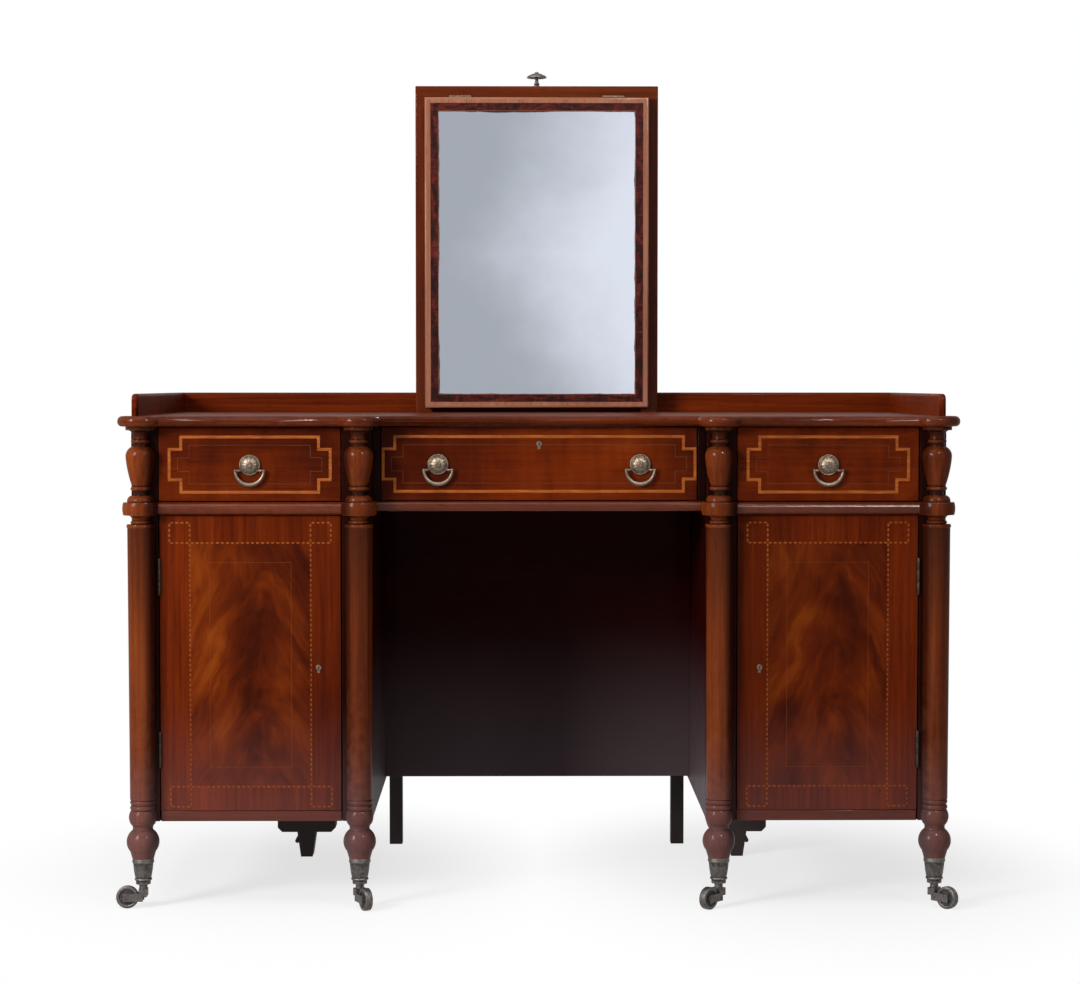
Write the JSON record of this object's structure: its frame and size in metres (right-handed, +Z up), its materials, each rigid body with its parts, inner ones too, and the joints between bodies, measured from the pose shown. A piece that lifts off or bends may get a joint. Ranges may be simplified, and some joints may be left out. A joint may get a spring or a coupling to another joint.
{
  "type": "dressing table",
  "caption": "Pedestal kneehole dressing table with galleried top, turned columns on castors, inlaid drawers and cupboard doors, and a rising, tilting mirror.",
  "frame": {"origin": "on the floor under the middle of the table's overall width and depth", "axes": "+X to the right seen from the front, +Y to the back, +Z up; mirror raised, drawers and doors closed"},
  "size_m": [1.3773, 0.6356, 1.4281],
  "materials": {
    "mahogany": "French-polished, figured",
    "dark_stained_pine": "dark stain, dull",
    "oak_lining": "bare, planed",
    "aged_brass": "aged, darkened in the recesses",
    "silvered_glass": "old silvering, foxed edge"
  },
  "bodies": {
    "carcase": {"top_board": "mahogany", "gallery": "mahogany", "outer_left_column": "mahogany", "inner_left_column": "mahogany", "inner_right_column": "mahogany", "outer_right_column": "mahogany", "door_hinge_plates": "aged_brass", "corner_stiles": "mahogany", "outer_sides": "mahogany", "inner_sides": "mahogany", "pedestal_backs": "dark_stained_pine", "waist_boards": "mahogany", "pedestal_bottoms": "mahogany", "cupboard_shelves": "dark_stained_pine", "centre_dust_board": "mahogany", "centre_stiles": "mahogany", "kneehole_panel": "dark_stained_pine", "well_floor": "dark_stained_pine", "well_back": "dark_stained_pine", "rear_posts": "dark_stained_pine", "mirror_guides": "dark_stained_pine", "rear_feet": "dark_stained_pine", "castor_sockets": "aged_brass"},
    "left_door": {"left_door": "mahogany", "left_door_hinges": "aged_brass", "left_door_lock": "aged_brass"},
    "right_door": {"right_door": "mahogany", "right_door_hinges": "aged_brass", "right_door_lock": "aged_brass"},
    "mirror_slide": {"mirror_slide": "mahogany", "lift_knob": "aged_brass", "mirror_hinge_plates": "aged_brass"},
    "mirror": {"mirror_frame": "mahogany", "mirror_glass": "silvered_glass", "mirror_backing": "oak_lining", "mirror_hinge_leaves": "aged_brass"},
    "left_drawer": {"left_drawer_front": "mahogany", "left_drawer_box": "oak_lining", "left_drawer_bottom": "oak_lining", "left_drawer_brasses": "aged_brass"},
    "centre_drawer": {"centre_drawer_front": "mahogany", "centre_drawer_box": "oak_lining", "centre_drawer_bottom": "oak_lining", "centre_drawer_brasses": "aged_brass"},
    "right_drawer": {"right_drawer_front": "mahogany", "right_drawer_box": "oak_lining", "right_drawer_bottom": "oak_lining", "right_drawer_brasses": "aged_brass"},
    "left_bail": {"left_bail": "aged_brass"},
    "centre_left_bail": {"centre_left_bail": "aged_brass"},
    "centre_right_bail": {"centre_right_bail": "aged_brass"},
    "right_bail": {"right_bail": "aged_brass"},
    "outer_left_castor": {"outer_left_castor_horn": "aged_brass"},
    "outer_left_wheel": {"outer_left_castor_wheel": "aged_brass"},
    "inner_left_castor": {"inner_left_castor_horn": "aged_brass"},
    "inner_left_wheel": {"inner_left_castor_wheel": "aged_brass"},
    "inner_right_castor": {"inner_right_castor_horn": "aged_brass"},
    "inner_right_wheel": {"inner_right_castor_wheel": "aged_brass"},
    "outer_right_castor": {"outer_right_castor_horn": "aged_brass"},
    "outer_right_wheel": {"outer_right_castor_wheel": "aged_brass"}
  },
  "joints": [
    {"name": "left_drawer_slide", "type": "slide", "parent": "carcase", "child": "left_drawer", "axis": [0, -1, 0], "range_m": [0, 0.38]},
    {"name": "centre_drawer_slide", "type": "slide", "parent": "carcase", "child": "centre_drawer", "axis": [0, -1, 0], "range_m": [0, 0.33]},
    {"name": "right_drawer_slide", "type": "slide", "parent": "carcase", "child": "right_drawer", "axis": [0, -1, 0], "range_m": [0, 0.38]},
    {"name": "left_door_swing", "type": "hinge", "parent": "carcase", "child": "left_door", "pos_m": [-0.62, -0.273, 0.4], "axis": [0, 0, -1], "range_deg": [0, 95]},
    {"name": "right_door_swing", "type": "hinge", "parent": "carcase", "child": "right_door", "pos_m": [0.62, -0.273, 0.4], "axis": [0, 0, 1], "range_deg": [0, 95]},
    {"name": "left_bail_lift", "type": "hinge", "parent": "left_drawer", "child": "left_bail", "pos_m": [-0.4715, -0.2782, 0.716], "axis": [-1, 0, 0], "range_deg": [0, 90]},
    {"name": "centre_left_bail_lift", "type": "hinge", "parent": "centre_drawer", "child": "centre_left_bail", "pos_m": [-0.166, -0.2462, 0.716], "axis": [-1, 0, 0], "range_deg": [0, 90]},
    {"name": "centre_right_bail_lift", "type": "hinge", "parent": "centre_drawer", "child": "centre_right_bail", "pos_m": [0.166, -0.2462, 0.716], "axis": [-1, 0, 0], "range_deg": [0, 90]},
    {"name": "right_bail_lift", "type": "hinge", "parent": "right_drawer", "child": "right_bail", "pos_m": [0.4715, -0.2782, 0.716], "axis": [-1, 0, 0], "range_deg": [0, 90]},
    {"name": "mirror_rise", "type": "slide", "parent": "carcase", "child": "mirror_slide", "axis": [0, 0, 1], "range_m": [-0.552, 0]},
    {"name": "mirror_tilt", "type": "hinge", "parent": "mirror_slide", "child": "mirror", "pos_m": [0, 0.2553, 1.3814], "axis": [-1, 0, 0], "range_deg": [0, 20]},
    {"name": "outer_left_castor_swivel", "type": "hinge", "parent": "carcase", "child": "outer_left_castor", "pos_m": [-0.648, -0.278, 0.03], "axis": [0, 0, 1], "continuous": true},
    {"name": "outer_left_wheel_roll", "type": "hinge", "parent": "outer_left_castor", "child": "outer_left_wheel", "pos_m": [-0.674, -0.278, 0.01825], "axis": [0, -1, 0], "continuous": true},
    {"name": "inner_left_castor_swivel", "type": "hinge", "parent": "carcase", "child": "inner_left_castor", "pos_m": [-0.294, -0.278, 0.03], "axis": [0, 0, 1], "continuous": true},
    {"name": "inner_left_wheel_roll", "type": "hinge", "parent": "inner_left_castor", "child": "inner_left_wheel", "pos_m": [-0.28301, -0.30156, 0.01825], "axis": [0.9063, 0.4226, 0], "continuous": true},
    {"name": "inner_right_castor_swivel", "type": "hinge", "parent": "carcase", "child": "inner_right_castor", "pos_m": [0.294, -0.278, 0.03], "axis": [0, 0, 1], "continuous": true},
    {"name": "inner_right_wheel_roll", "type": "hinge", "parent": "inner_right_castor", "child": "inner_right_wheel", "pos_m": [0.27627, -0.29701, 0.01825], "axis": [0.7314, -0.682, 0], "continuous": true},
    {"name": "outer_right_castor_swivel", "type": "hinge", "parent": "carcase", "child": "outer_right_castor", "pos_m": [0.648, -0.278, 0.03], "axis": [0, 0, 1], "continuous": true},
    {"name": "outer_right_wheel_roll", "type": "hinge", "parent": "outer_right_castor", "child": "outer_right_wheel", "pos_m": [0.6667, -0.29606, 0.01825], "axis": [0.6947, 0.7193, 0], "continuous": true}
  ]
}
